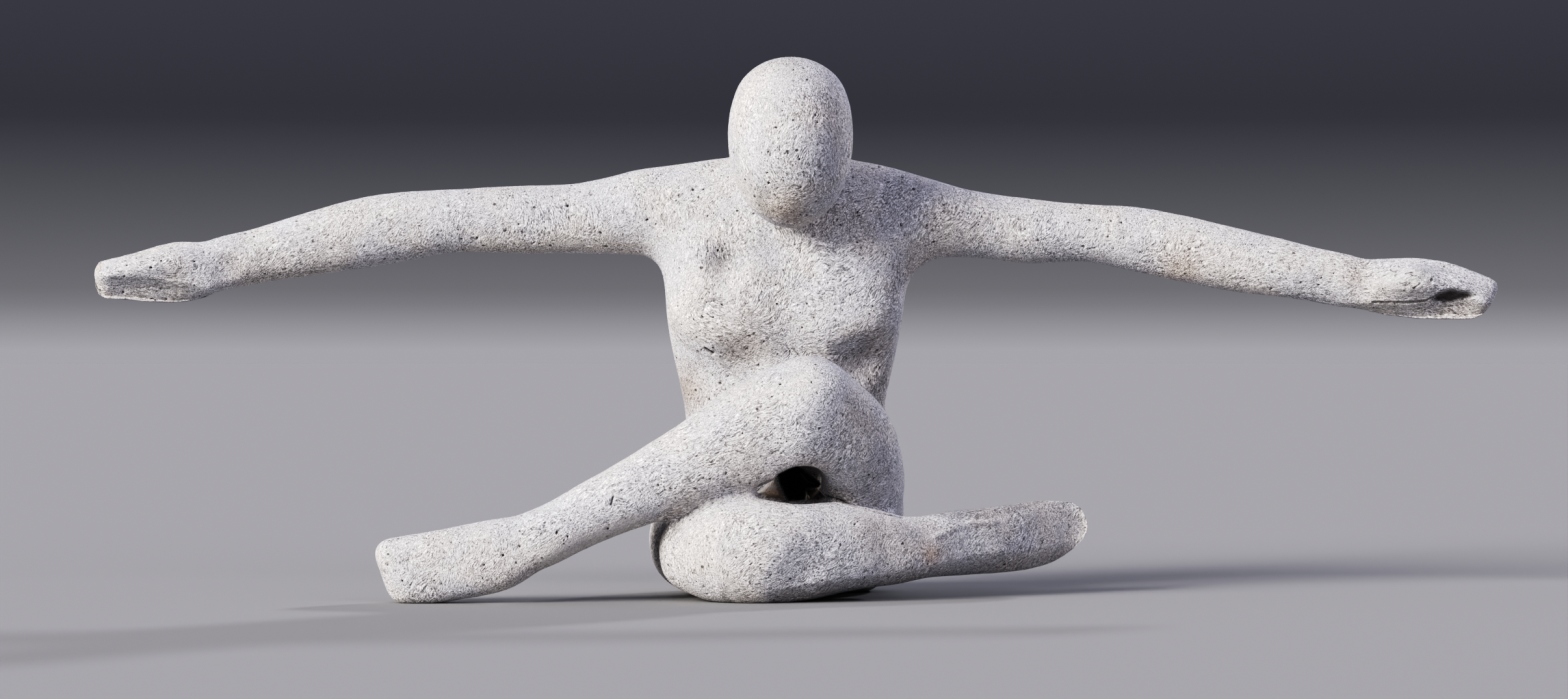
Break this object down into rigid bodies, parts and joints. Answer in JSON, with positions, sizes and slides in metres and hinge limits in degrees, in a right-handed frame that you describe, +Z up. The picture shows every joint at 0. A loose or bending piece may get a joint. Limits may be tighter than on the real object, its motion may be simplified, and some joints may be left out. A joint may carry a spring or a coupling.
{
  "type": "figure sculpture",
  "caption": "Carved stone figure, seated with crossed legs and bowed faceless head, both arms held straight out to the sides.",
  "frame": {"origin": "on the surface that the figure sits on, under the middle of the seat, in the sawn flat of its underside", "axes": "+Z up, -Y to the figure's front, +X towards the tip of the figure's own left arm"},
  "size_m": [0.6449, 0.1272, 0.2454],
  "materials": {
    "sandstone": "pale grey, fine-grained and porous, sanded matt with rasp marks left in it"
  },
  "bodies": {
    "root": {"figure": "sandstone"}
  },
  "joints": []
}
